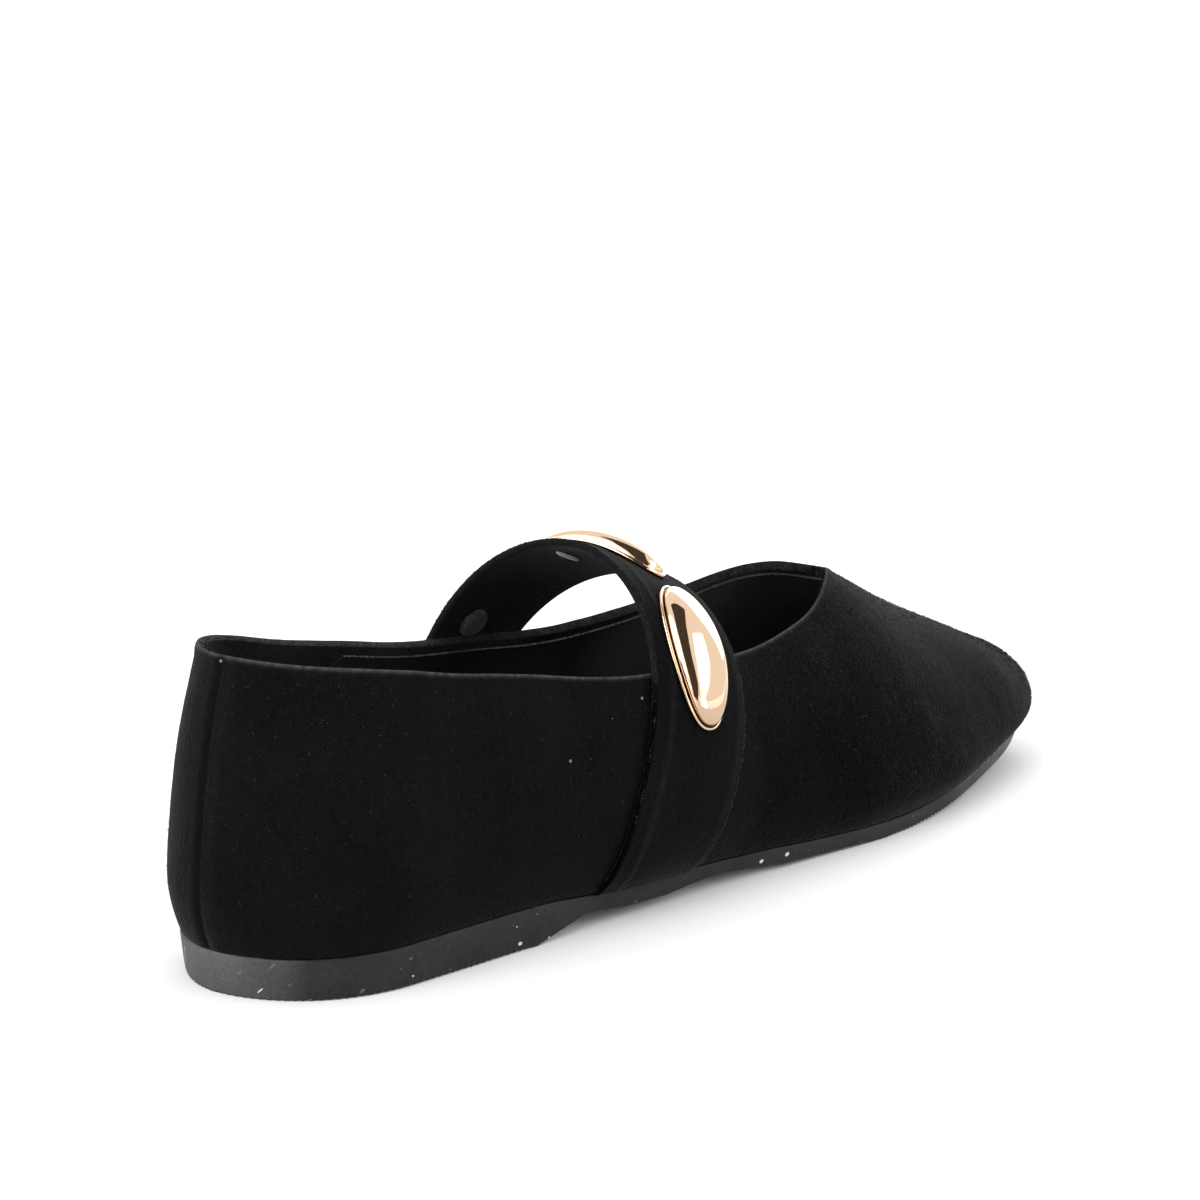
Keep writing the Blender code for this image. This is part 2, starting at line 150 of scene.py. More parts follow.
def piece_of(name, bm, material):
    """The finished mesh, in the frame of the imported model, riding on the shoe."""
    bmesh.ops.translate(bm, verts=bm.verts, vec=MIDDLE)
    mesh = bpy.data.meshes.new(name)
    bm.to_mesh(mesh)
    bm.free()
    mesh.shade_smooth()
    mesh.materials.append(material)
    piece = bpy.data.objects.new(name, mesh)
    bpy.context.scene.collection.objects.link(piece)
    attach(piece, "root")
    return piece


def material_of(name, colour, roughness, **sockets):
    """A Principled material and its shader; the other arguments set sockets by their names."""
    material = bpy.data.materials.new(name)
    material.use_nodes = True
    shader = material.node_tree.nodes["Principled BSDF"]
    shader.inputs["Base Color"].default_value = (*colour, 1)
    shader.inputs["Roughness"].default_value = roughness
    for socket, value in sockets.items():
        shader.inputs[socket.replace("_", " ")].default_value = value
    return material, shader


def add_node(material, kind, links=(), **settings):
    """A node of the material, with its values set and its inputs linked by name."""
    node = material.node_tree.nodes.new("ShaderNode" + kind)
    for key, value in settings.items():
        if hasattr(node, key):
            setattr(node, key, value)
        else:
            node.inputs[key.replace("_", " ")].default_value = value
    for name, source in dict(links).items():
        material.node_tree.links.new(source, node.inputs[name])
    return node


def stretched(material, coordinate, scale, turn=(0, 0, 0)):
    """Texture coordinates of the piece, stretched by three factors and turned."""
    source = add_node(material, "TexCoord").outputs[coordinate]
    mapping = add_node(material, "Mapping", {"Vector": source})
    mapping.inputs["Scale"].default_value = scale
    mapping.inputs["Rotation"].default_value = turn
    return mapping.outputs["Vector"]


def noise_of(material, coordinate, scale, detail=2.0, turn=(0, 0, 0)):
    """Noise over the piece, with this many cells to a metre along each axis."""
    place = stretched(material, coordinate, scale, turn)
    return add_node(material, "TexNoise", {"Vector": place}, Scale=1.0, Detail=detail).outputs["Fac"]


def ramp(material, factor, *stops):
    """A colour ramp through (place, grey or colour) stops."""
    node = add_node(material, "ValToRGB", {"Fac": factor})
    elements = node.color_ramp.elements
    while len(elements) < len(stops):
        elements.new(0.5)
    for element, (place, colour) in zip(elements, stops):
        element.position = place
        element.color = (colour, colour, colour, 1) if isinstance(colour, float) else (*colour, 1)
    return node.outputs["Color"]


def blended(material, mode, factor, one, two):
    """Two colours mixed; factor, one and two are values or outputs."""
    node = material.node_tree.nodes.new("ShaderNodeMix")
    node.data_type = "RGBA"
    node.blend_type = mode
    for socket, value in zip((node.inputs[0], node.inputs[6], node.inputs[7]), (factor, one, two)):
        if isinstance(value, bpy.types.NodeSocket):
            material.node_tree.links.new(value, socket)
        else:
            socket.default_value = value
    return node.outputs[2]


def math_of(material, operation, one, two=0.0):
    """The outcome of a sum on two values or outputs."""
    node = material.node_tree.nodes.new("ShaderNodeMath")
    node.operation = operation
    for socket, value in zip(node.inputs, (one, two)):
        if isinstance(value, bpy.types.NodeSocket):
            material.node_tree.links.new(value, socket)
        else:
            socket.default_value = value
    return node.outputs["Value"]


def share_between(material, value, start, end, most=1.0):
    """0 before start, this much past end and an even rise between them."""
    span = add_node(material, "MapRange", {"Value": value})
    for name, number in (("From Min", start), ("From Max", end), ("To Min", 0.0), ("To Max", most)):
        span.inputs[name].default_value = number
    return span.outputs["Result"]


def along_shoe(material):
    """Distance along the shoe from its middle, heel below zero."""
    place = stretched(material, "Object", (1, 1, 1))
    return add_node(material, "SeparateXYZ", {"Vector": place}).outputs["X"]


def flecks_of(material, coordinate, scale, size):
    """A mask of small flecks of chance sizes, one in each cell of this scale."""
    place = stretched(material, coordinate, scale)
    cells = add_node(material, "TexVoronoi", {"Vector": place}, Scale=1.0)
    chance = add_node(material, "SeparateColor", {"Color": cells.outputs["Color"]}).outputs["Red"]
    radius = math_of(material, "MULTIPLY", math_of(material, "POWER", chance, 3.0), size)
    return math_of(material, "LESS_THAN", cells.outputs["Distance"], radius)


def bumped(material, shader, height, distance, strength):
    bump = add_node(material, "Bump", {"Height": height}, Distance=distance, Strength=strength)
    material.node_tree.links.new(bump.outputs["Normal"], shader.inputs["Normal"])


def make_sole():
    fine = np.linspace(0, 1, 4001)
    run = np.cumsum(np.r_[0, np.linalg.norm(np.diff(sole_edge(fine, OUTER), axis=0), axis=1)])
    length = np.linspace(0, run[-1], 700)
    sweeps = np.interp(length, run, fine)
    station = station_of(sweeps)
    outer, inner = sole_edge(sweeps, OUTER), sole_edge(sweeps, INNER)
    floor = ARCH * np.interp(station, SIDE_STATION, ARCH_SHARE) + toe_lift(station)
    heel_ribs = np.clip((HEEL_RIBS_END - station) / 0.01, 0, 1)
    ribbed = heel_ribs + np.clip((station - FORE_RIBS_START) / 0.01, 0, 1)
    rib = ribbed * RIB_DEPTH * np.abs(np.sin(np.pi * length / RIB_PITCH))
    # Each pair is the share of the side's slope taken inwards, and the height from the floor to the top.
    corner = ((0.25, 1.0), (0.02, 0.97), (0.0, 0.88), (0.3, 0.6), (0.6, 0.3), (0.85, 0.1), (1.0, 0.035))
    columns = []
    for share in (0.0, 0.3, 0.6, 0.85, 0.96):
        columns.append(across(outer, inner, share))
    strips = []
    for edge in (outer, inner):
        strip = []
        for inward, height in corner:
            point = edge.copy()
            point[:, 0] += (SOLE_LENGTH / 2 - edge[:, 0]) * 2 * SIDE_SLOPE * inward / SOLE_LENGTH
            shrink = np.clip(1 - SIDE_SLOPE * inward / np.maximum(np.abs(edge[:, 1]), 1e-6), 0, 1)
            point[:, 1] *= shrink
            point[:, 2] = floor + rib * (1 - height) + (edge[:, 2] - floor) * height
            strip.append(point)
        strips.append(strip)
    columns += strips[0]
    for share in np.linspace(0.985, -0.985, 17):
        point = across(strips[0][-1], strips[1][-1], share)
        point[:, 2] = floor + rib * (1 if abs(share) > 0.05 else 0.0)
        columns.append(point)
    columns += strips[1][::-1]
    for share in (0.96, 0.85, 0.6, 0.3, 0.0):
        columns.append(across(inner, outer, share))
    rubber, shader = material_of("sanded_rubber", (0.02, 0.019, 0.018), 0.55, Specular_IOR_Level=0.22)
    scratch = noise_of(rubber, "UV", (1500, 110, 1), 4.0, turn=(0, 0, 0.5))
    cloud = noise_of(rubber, "Object", (70, 70, 70), 6.0)
    grain = noise_of(rubber, "Object", (2000, 2000, 2000), 3.0)
    along_x = along_shoe(rubber)
    toe_share = share_between(rubber, along_x, 0.06, 0.105, 0.85)
    # Painted light: the last few millimetres at the back of the heel are made lighter, where the heel box
    # lights them.
    heel_light_share = share_between(rubber, along_x, -0.117, -0.1249, 0.85)
    mottle = blended(rubber, "MIX", 0.45, cloud, grain)
    shade = ramp(rubber, mottle, (0.36, (0.0055, 0.0053, 0.0051)), (0.64, (0.021, 0.02, 0.0197)))
    streak = ramp(rubber, scratch, (0.4, (0.012, 0.0118, 0.0115)), (0.64, (0.13, 0.127, 0.125)))
    painted_heel_light = ramp(rubber, mottle, (0.36, (0.045, 0.044, 0.043)), (0.64, (0.1, 0.098, 0.096)))
    shade = blended(rubber, "MIX", heel_light_share, shade, painted_heel_light)
    colour = blended(rubber, "MIX", toe_share, shade, streak)
    fleck = flecks_of(rubber, "UV", (260, 360, 1), 0.16)
    dust = flecks_of(rubber, "UV", (500, 600, 1), 0.22)
    colour = blended(rubber, "MIX", math_of(rubber, "MULTIPLY", dust, 0.35), colour, (0.2, 0.19, 0.18, 1))
    colour = blended(rubber, "MIX", fleck, colour, (0.62, 0.56, 0.5, 1))
    rubber.node_tree.links.new(colour, shader.inputs["Base Color"])
    height = blended(rubber, "MIX", 0.5, grain, scratch)
    bumped(rubber, shader, height, 0.00015, 0.6)
    ring = np.stack(columns, 1)
    sole = piece_of("rubber_sole", sheet_of(ring, around=True), rubber)
    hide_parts("outsole")


make_sole()


# Upper.
# Black velvet over a thin backing, lasted under all round and stitched up the centre of the heel.
# Its collar is folded over a tape, and the pile turns with it for a few millimetres inside.
LAST_HEIGHT, LAST_FLARE, FOOT_TUCK, GAP = 0.094, 0.010, 0.0024, 0.0003
SHELL_WALL = 0.0018
# Sections of the last: the ridge's height, then how each side rises, flares and turns in at its crown.
LAST_STATION = (0.12, 0.25, 0.40, 0.50, 0.60, 0.70, 0.80, 0.90)
RIDGE_HEIGHT = (1.0, 0.855, 0.715, 0.615, 0.60, 0.58, 0.465, 0.355)
SIDE_RISE = (0.37, 0.52, 0.61, 0.62, 0.45, 0.37, 0.38, 0.47)
OUTER_FLARE = (0.06, 0.37, 1.10, 0.62, 0.40, 0.30, 0.40, 0.46)
INNER_FLARE = (0.06, 0.35, 1.25, 0.75, 0.40, 0.30, 0.40, 0.46)
OUTER_CROWN = (0.66, 0.57, 0.61, 0.56, 0.53, 0.50, 0.52, 0.66)
INNER_CROWN = (0.66, 0.57, 0.71, 0.64, 0.53, 0.50, 0.52, 0.66)
HEEL_POLE, TOE_POLE, TUCK_TURN = 0.12, 0.972, 0.12
# How far up its section the collar runs, from the seam at the heel to the throat.
COLLAR_STATION = (0.0, 0.06, 0.185, 0.33, 0.447, 0.553, 0.642, 0.707, 0.739)
COLLAR_OUTER = (0.489, 0.474, 0.435, 0.425, 0.495, 0.600, 0.715, 0.865, 1.0)
COLLAR_INNER = (0.489, 0.477, 0.429, 0.411, 0.450, 0.600, 0.745, 0.865, 1.0)
SEAM_DEPTH, SEAM_WIDTH = 0.0003, 0.0009
SEAM_SWELL, SWELL_PLACE, SWELL_WIDTH = 0.00006, 0.0024, 0.0012
ROLL_HEIGHT, ROLL_PLACE, ROLL_WIDTH = 0.0003, 0.0008, 0.0012


def unit(vectors):
    return vectors / np.linalg.norm(vectors, axis=-1, keepdims=True)


def bell(distance, middle, width):
    """1 at the middle, falling away on both sides of it."""
    return np.exp(-(((distance - middle) / width) ** 2))


def last_face(sweep, turn, side):
    """The outside of the upper: turn 0 is at the sole's edge and 1 on the ridge over the foot."""
    sweep, turn = np.broadcast_arrays(np.asarray(sweep, float), np.asarray(turn, float))
    station = station_of(sweep)
    along = np.clip(station, HEEL_POLE, TOE_POLE)
    toe_slope = (RIDGE_HEIGHT[-2] - RIDGE_HEIGHT[-1]) * LAST_HEIGHT / 0.1
    top = LAST_HEIGHT * curve_through(LAST_STATION, RIDGE_HEIGHT, along)
    top = top - toe_slope * np.maximum(0, along - LAST_STATION[-1])
    width = curve_through(EDGE_STATION, EDGE_INNER, along)
    lean = width - curve_through(EDGE_STATION, EDGE_OUTER, along)
    ridge = np.stack((along * SOLE_LENGTH, lean * HALF_BALL / 2, top), -1)
    foot = sole_edge(sweep, side)
    foot[..., 2] += GAP
    out = foot - ridge
    out[..., 2] = 0
    reach = np.linalg.norm(out, axis=-1, keepdims=True)
    out = out / reach
    reach = reach + FOOT_TUCK
    foot = foot + out * FOOT_TUCK
    flare = curve_through(LAST_STATION, OUTER_FLARE if side == OUTER else INNER_FLARE, along)
    rise = curve_through(LAST_STATION, SIDE_RISE, along) * (ridge[..., 2] - foot[..., 2])
    lower = foot + out * flare[..., None] * LAST_FLARE
    lower[..., 2] += rise
    crown = curve_through(LAST_STATION, OUTER_CROWN if side == OUTER else INNER_CROWN, along)
    upper = ridge + out * crown[..., None] * reach
    fall = toe_slope / SOLE_LENGTH * (out * reach)[..., 0] * crown
    upper[..., 2] -= np.where(station > TOE_POLE, fall, 0)
    t = turn[..., None]
    tucked = np.maximum(0, 1 - t / TUCK_TURN) ** 2 * FOOT_TUCK
    back = 1 - t
    return foot * back**3 + lower * 3 * t * back**2 + upper * 3 * t**2 * back + ridge * t**3 - out * tucked


def slopes_on_last(sweep, turn, side):
    """How the face moves with the sweep and with the turn, and the way out of it."""
    step = 0.0005
    sweep, turn = np.clip(sweep, step, 1 - step), np.minimum(turn, 0.998)
    forward = (last_face(sweep + step, turn, side) - last_face(sweep - step, turn, side)) / (2 * step)
    upward = (last_face(sweep, turn + step, side) - last_face(sweep, turn - step, side)) / (2 * step)
    out = np.cross(forward, upward) * -side
    return forward, upward, unit(out)


def sweep_of(station):
    return np.arccos(1 - 2 * np.asarray(station, float)) / np.pi


def collar_line(count, side):
    """Sweep and turn of the collar's edge, from 0 at the back seam to 8 at the throat."""
    sweeps = sweep_of(COLLAR_STATION)
    turns = np.array(COLLAR_OUTER if side == OUTER else COLLAR_INNER)
    sweeps = np.r_[-sweeps[1], sweeps, sweeps[-2]]
    turns = np.r_[turns[1], turns, 2 - turns[-2]]
    keys = np.arange(-1, len(COLLAR_STATION) + 1)
    return curve_through(keys, sweeps, count), np.minimum(curve_through(keys, turns, count), 1.0)


def below_collar(count, side, distance):
    """The line that runs this far below the collar's edge, measured over the face."""
    sweep, turn = collar_line(count, side)
    step = 0.001
    lows, highs = collar_line(count - step, side), collar_line(count + step, side)
    tangent = last_face(*highs, side) - last_face(*lows, side)
    forward, upward, out = slopes_on_last(sweep, turn, side)
    down = unit(np.cross(out, tangent) * -side)
    down = np.where((down * upward).sum(-1, keepdims=True) > 1e-9, -down, down)
    a, b, c = (forward * forward).sum(-1), (forward * upward).sum(-1), (upward * upward).sum(-1)
    e, f = (down * forward).sum(-1), (down * upward).sum(-1)
    share = distance / (a * c - b * b)
    return sweep + share * (e * c - f * b), turn + share * (f * a - e * b)


def pile_noise(points, size, seed):
    """Smooth noise over an array of points, as seen at features of this size."""
    flat = points.reshape(-1, 3) / size + seed
    return np.array([noise.noise(p) for p in flat]).reshape(points.shape[:-1])


def velvet_of(name, base):
    """Velvet: a black pile of short upright fibres, lying a little lighter and darker in clouds, with painted
    shade ahead of the strap and painted light and shade from the tone attribute.
    """
    velvet, shader = material_of(
        name, (base, base, base), 1.0, Specular_IOR_Level=0.02,
        Sheen_Weight=0.10, Sheen_Roughness=0.32, Sheen_Tint=(0.86, 0.87, 0.9, 1),
    )

    def grey(share, blue):
        return share * base, share * base, blue * base

    fibre = noise_of(velvet, "Object", (2400, 2400, 2400), 2.0)
    tuft = noise_of(velvet, "Object", (900, 900, 700), 3.0)
    cloud = noise_of(velvet, "Object", (70, 70, 50), 5.0)
    rib = noise_of(velvet, "UV", (1500, 60, 1), 1.0)
    nap = blended(velvet, "MIX", 0.35, fibre, tuft)
    mixed = blended(velvet, "MIX", 0.3, blended(velvet, "MIX", 0.12, nap, rib), cloud)
    shades = ((0.4, grey(0.15, 0.16)), (0.5, grey(0.6, 0.63)), (0.62, grey(2.6, 2.8)))
    grainy = ramp(velvet, mixed, *shades)
    even = ramp(velvet, mixed, (0.38, grey(0.55, 0.57)), (0.62, grey(1.25, 1.3)))
    along_x = along_shoe(velvet)
    colour = blended(velvet, "MIX", share_between(velvet, along_x, -0.02, 0.05), even, grainy)
    # Painted shade on the vamp just ahead of the strap, where the strap's shade falls.
    by_strap = share_between(velvet, along_x, -0.02, 0.08)
    painted_strap_shade = ramp(velvet, by_strap, (0.08, 1.0), (0.14, 0.4), (0.4, 0.45), (0.75, 1.0))
    colour = blended(velvet, "MULTIPLY", 1.0, colour, painted_strap_shade)
    # The tone attribute carries painted light above zero, a pale grey in tufts, and painted shade below zero,
    # towards black.
    tone = add_node(velvet, "Attribute", attribute_name="tone").outputs["Fac"]
    painted_light_share = math_of(velvet, "MULTIPLY", math_of(velvet, "MAXIMUM", tone, 0.0), tuft)
    painted_shade_share = math_of(velvet, "MAXIMUM", math_of(velvet, "MULTIPLY", tone, -1.0), 0.0)
    colour = blended(velvet, "MIX", painted_shade_share, colour, (0, 0, 0, 1))
    colour = blended(velvet, "MIX", painted_light_share, colour, (0.11, 0.11, 0.115, 1))
    lint = flecks_of(velvet, "Object", (150, 150, 150), 0.05)
    colour = blended(velvet, "MIX", lint, colour, (0.16, 0.16, 0.17, 1))
    velvet.node_tree.links.new(colour, shader.inputs["Base Color"])
    bumped(velvet, shader, nap, 0.0004, 0.9)
    return velvet


def joined(parts):
    """One bmesh out of several."""
    whole = bmesh.new()
    for part in parts:
        mesh = bpy.data.meshes.new("part")
        part.to_mesh(mesh)
        part.free()
        whole.from_mesh(mesh)
        bpy.data.meshes.remove(mesh)
    return whole


def make_upper():
    # The rows crowd together beside the seam at the heel, for its groove.
    near_seam = np.array((0, 0.012, 0.024, 0.036, 0.05, 0.07, 0.1, 0.14, 0.19, 0.25, 0.32, 0.4))
    counts = np.r_[near_seam, np.linspace(0.46, 8, 150)]
    sheets, tones = [], []
    for side in (OUTER, INNER):
        sweep, top = collar_line(counts, side)
        vamp = np.linspace(sweep[-1], 1, 64)[1:]
        sweep = np.r_[sweep, vamp]
        top = np.r_[top, np.ones(len(vamp))]
        tuck = np.linspace(0, TUCK_TURN, 9)[:-1]
        rest = np.r_[np.linspace(0, 0.93, 36), 0.95, 0.965, 0.978, 0.988, 0.995, 1]
        tucked = np.broadcast_to(tuck, (len(top), len(tuck)))
        turn = np.concatenate((tucked, TUCK_TURN + (top[:, None] - TUCK_TURN) * rest), 1)
        sweep = sweep[:, None] + turn * 0
        points = last_face(sweep, turn, side)
        out = slopes_on_last(sweep, turn, side)[2]
        steps = np.linalg.norm(np.diff(points, axis=0), axis=-1)
        from_seam = np.cumsum(np.r_[np.zeros((1, points.shape[1])), steps], 0)
        dent = SEAM_SWELL * bell(from_seam, SWELL_PLACE, SWELL_WIDTH)
        dent = dent - SEAM_DEPTH * bell(from_seam, 0.0, SEAM_WIDTH)
        to_collar = np.zeros(points.shape[:2])
        to_collar[:, :-1] = np.cumsum(np.linalg.norm(np.diff(points, axis=1), axis=-1)[:, ::-1], 1)[:, ::-1]
        on_collar = (np.arange(len(top)) < len(counts))[:, None]
        roll = on_collar * ROLL_HEIGHT * bell(to_collar, ROLL_PLACE, ROLL_WIDTH)
        soft = 0.00018 * pile_noise(points, 0.018, 3.0) + 0.00007 * pile_noise(points, 0.004, 9.0)
        points = points + out * (dent + roll + soft * np.minimum(1, from_seam / 0.003))[..., None]
        # Painted highlight along the edge of the collar: strongest near the seam, weakest towards the throat.
        rim_highlight = 0.9 - 0.45 * np.clip((np.arange(len(top)) - 115) / 20, 0, 1)[:, None]
        if side == INNER:
            rim_highlight = 0.9 - 0.6 * np.clip(from_seam / 0.02, 0, 1)
        tone = on_collar * rim_highlight * bell(to_collar, 0.0, 0.0005)
        # Painted shade in the groove of the back seam, and a faint painted highlight on the swell beside it.
        tone = tone - 0.3 * bell(from_seam, 0.0, SEAM_WIDTH) + 0.04 * bell(from_seam, SWELL_PLACE, 0.001)
        tones.append(tone)
        sheets.append(points)
    seam = (sheets[0][0] + sheets[1][0]) / 2
    tip = (sheets[0][-1] + sheets[1][-1]) / 2
    ridge = (sheets[0][len(counts) - 1:, -1] + sheets[1][len(counts) - 1:, -1]) / 2
    for points in sheets:
        points[0], points[-1] = seam, tip
        points[len(counts) - 1:, -1] = ridge
    outer_half = sheet_of(sheets[0], tone=tones[0])
    bm = joined((outer_half, sheet_of(sheets[1][:, ::-1], tone=tones[1][:, ::-1])))
    bmesh.ops.remove_doubles(bm, verts=bm.verts, dist=4e-6)
    bmesh.ops.dissolve_degenerate(bm, edges=bm.edges, dist=2e-6)
    bmesh.ops.recalc_face_normals(bm, faces=bm.faces)
    high = max(bm.faces, key=lambda face: face.calc_center_median().z)
    if high.normal.z < 0:
        bmesh.ops.reverse_faces(bm, faces=bm.faces)
    velvet = velvet_of("black_velvet", 0.0045)
    shell = piece_of("velvet_upper", bm, velvet)
    shell.data.materials.append(velvet_of("turned_pile", 0.011))
    wall = shell.modifiers.new("wall", "SOLIDIFY")
    wall.thickness = SHELL_WALL
    wall.offset = -1
    wall.material_offset = 1
    rounding = shell.modifiers.new("rounding", "BEVEL")
    rounding.width = 0.00075
    rounding.segments = 3
    rounding.limit_method = "ANGLE"
    rounding.angle_limit = math.radians(50)
    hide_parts("upper")


make_upper()


# Lining.
# A thin smooth cloth glued inside the upper, from the footbed up to the pile that is folded in at
# the collar. A zigzag stitch in grey thread holds that edge down.
FACING_DEPTH, HEEL_FACING, HEEL_COUNT = 0.0023, 0.012, 2.3


def facing_depth(count):
    """The pile is folded in deeper round the heel, where the foot would wear a thin cloth through."""
    return FACING_DEPTH + (HEEL_FACING - FACING_DEPTH) * np.clip((HEEL_COUNT - count) / 0.2, 0, 1) ** 1.5


def make_lining():
    counts = np.r_[np.linspace(0, 2, 16)[:-1], np.linspace(2, 2.5, 14)[:-1], np.linspace(2.5, 8, 80)]
    halves = []
    for side in (OUTER, INNER):
        sweep, top = below_collar(counts, side, facing_depth(counts))
        top = np.minimum(top, 1.0)
        top[-1] = 1.0
        sweep[0] = 0.0
        vamp = np.linspace(sweep[-1], 0.985, 40)[1:]
        sweep = np.r_[sweep, vamp]
        top = np.r_[top, np.ones(len(vamp))]
        turn = 0.16 + (top[:, None] - 0.16) * np.linspace(0, 1, 30)
        sweep = sweep[:, None] + turn * 0
        points = last_face(sweep, turn, side)
        out = slopes_on_last(sweep, turn, side)[2]
        inside = points - out * (SHELL_WALL + 0.0002)
        halves.append(sheet_of(inside if side == INNER else inside[:, ::-1]))
    bm = joined(halves)
    bmesh.ops.remove_doubles(bm, verts=bm.verts, dist=0.00015)
    bmesh.ops.recalc_face_normals(bm, faces=bm.faces)
    cloth, shader = material_of("lining_cloth", (0.012, 0.012, 0.012), 0.8, Specular_IOR_Level=0.15)
    weave = noise_of(cloth, "Object", (2600, 2600, 2600))
    dark = ramp(cloth, weave, (0.3, (0.003, 0.003, 0.003)), (0.7, (0.007, 0.007, 0.007)))
    painted_toe_light = ramp(cloth, weave, (0.3, (0.06, 0.06, 0.06)), (0.7, (0.1, 0.1, 0.1)))
    # Painted light: towards the toe the lining is made paler, to lift the deep shade inside the shoe.
    tone = blended(cloth, "MIX", share_between(cloth, along_shoe(cloth), 0.005, 0.045), dark, painted_toe_light)
    cloth.node_tree.links.new(tone, shader.inputs["Base Color"])
    bumped(cloth, shader, weave, 0.0001, 0.6)
    lining = piece_of("quarter_lining", bm, cloth)
    wall = lining.modifiers.new("wall", "SOLIDIFY")
    wall.thickness = 0.00025
    wall.offset = 0
    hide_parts("upper")

    steps = np.linspace(HEEL_COUNT, 7.98, 460)
    angle = np.linspace(0, 2 * np.pi, 7)
    strands = []
    for side in (OUTER, INNER):
        zigzag = facing_depth(steps) + 0.0001 * np.sin(np.arange(len(steps)) * 2.4)
        sweep, turn = below_collar(steps, side, zigzag)
        turn = np.minimum(turn, 1.0)
        out = slopes_on_last(sweep, turn, side)[2]
        points = last_face(sweep, turn, side) - out * (SHELL_WALL + 0.0004)
        down = unit(np.cross(out, np.gradient(points, axis=0)))
        thick = (0.00022 + 0.00008 * pile_noise(points, 0.0012, 5.0))[:, None, None]
        ring = points[:, None] + thick * (
            out[:, None] * np.cos(angle)[None, :, None] + down[:, None] * np.sin(angle)[None, :, None]
        )
        strand = sheet_of(ring, around=True)
        bmesh.ops.holes_fill(strand, edges=[edge for edge in strand.edges if edge.is_boundary])
        bmesh.ops.recalc_face_normals(strand, faces=strand.faces)
        strands.append(strand)
    cotton, shader = material_of("grey_thread", (0.05, 0.05, 0.05), 0.9, Specular_IOR_Level=0.1)
    twist = noise_of(cotton, "Object", (1500, 1500, 1500))
    tone = ramp(cotton, twist, (0.3, (0.02, 0.02, 0.02)), (0.7, (0.1, 0.1, 0.102)))
    cotton.node_tree.links.new(tone, shader.inputs["Base Color"])
    stitch = piece_of("facing_stitch", joined(strands), cotton)


make_lining()


# Footbed.
# A padded sock of black cloth on the insole board, cut to the last and glued in.
# Its edge is rounded over all round.
def make_footbed():
    sweeps = np.linspace(0, 1, 150)
    inset = SHELL_WALL + 2 * GAP
    rounded_edge = ((0.0012, 0.0025), (0.0004, 0.0023), (0.0, 0.0017), (0.0, 0.0005), (0.0003, 0.0))
    rows = []
    for side in (OUTER, INNER):
        edge = sole_edge(sweeps, side)
        ahead = sole_edge(np.minimum(sweeps + 0.002, 1), side)
        ahead = ahead - sole_edge(np.maximum(sweeps - 0.002, 0), side)
        out = np.stack((ahead[:, 1], -ahead[:, 0], ahead[:, 0] * 0), -1) * -side
        out[0], out[-1] = (-1, 0, 0), (1, 0, 0)
        out = unit(out)
        strip = []
        for inward, height in rounded_edge:
            point = edge - out * (inset + inward)
            point[:, 2] = edge[:, 2] + GAP + height
            strip.append(point)
        rows.append(strip)
    columns = []
    for share in np.linspace(0, 0.93, 7):
        columns.append(across(rows[0][0], rows[1][0], share))
    columns += rows[0]
    for share in (0.9, 0.45, 0.0, -0.45, -0.9):
        columns.append(across(rows[0][-1], rows[1][-1], share))
    columns += rows[1][::-1]
    for share in np.linspace(0.93, 0, 7):
        columns.append(across(rows[1][0], rows[0][0], share))
    sock, shader = material_of("sock_cloth", (0.008, 0.008, 0.009), 0.85, Specular_IOR_Level=0.25)
    weave = noise_of(sock, "Object", (1800, 1800, 1800), 3.0)
    tone = ramp(sock, weave, (0.3, (0.005, 0.005, 0.0055)), (0.7, (0.018, 0.018, 0.019)))
    sock.node_tree.links.new(tone, shader.inputs["Base Color"])
    bumped(sock, shader, weave, 0.00015, 0.7)
    footbed = piece_of("footbed", sheet_of(np.stack(columns, 1), around=True), sock)
    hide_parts("insole")


make_footbed()


# Strap.
# A band of velvet folded over elastic, with both hems turned under and stitched through, so that
# a soft line shows inside each edge, raised in the mesh and lit with a painted highlight. It runs down into
# the lasting margin on both sides.
STRAP_WIDTH, STRAP_THICKNESS = 0.0262, 0.0016
STRAP_PLACE, STRAP_PLACE_HEIGHT, STRAP_LEAN = 0.102, 0.048, math.radians(20.5)
EDGE_RADIUS, REAR_HEM, FRONT_HEM = 0.0008, 0.0045, 0.0024


def strap_face(offset, turn, side, lift=0.0):
    """A point of the strap's inner face, this far ahead of its middle, or lifted further out."""
    offset, turn = np.broadcast_arrays(np.asarray(offset, float), np.asarray(turn, float))
    low, high = np.full(turn.shape, 0.2), np.full(turn.shape, 0.8)
    for _ in range(30):
        sweep = (low + high) / 2
        point = last_face(sweep, turn, side)
        ahead = (point[..., 0] - STRAP_PLACE) * math.cos(STRAP_LEAN)
        ahead = ahead - (point[..., 2] - STRAP_PLACE_HEIGHT) * math.sin(STRAP_LEAN)
        low, high = np.where(ahead < offset, sweep, low), np.where(ahead < offset, high, sweep)
    out = slopes_on_last(sweep, turn, side)[2]
    return last_face(sweep, turn, side) + out * (GAP + np.asarray(lift)[..., None])


def strap_places():
    """Distance over the strap's middle from the ridge, outer side below zero, with its turn."""
    turns = np.linspace(1, 0, 121)
    table = {}
    for side in (OUTER, INNER):
        line = strap_face(0.0, turns, side)
        table[side] = (np.cumsum(np.r_[0, np.linalg.norm(np.diff(line, axis=0), axis=1)]), turns)
    return table


STRAP_TABLE = strap_places()


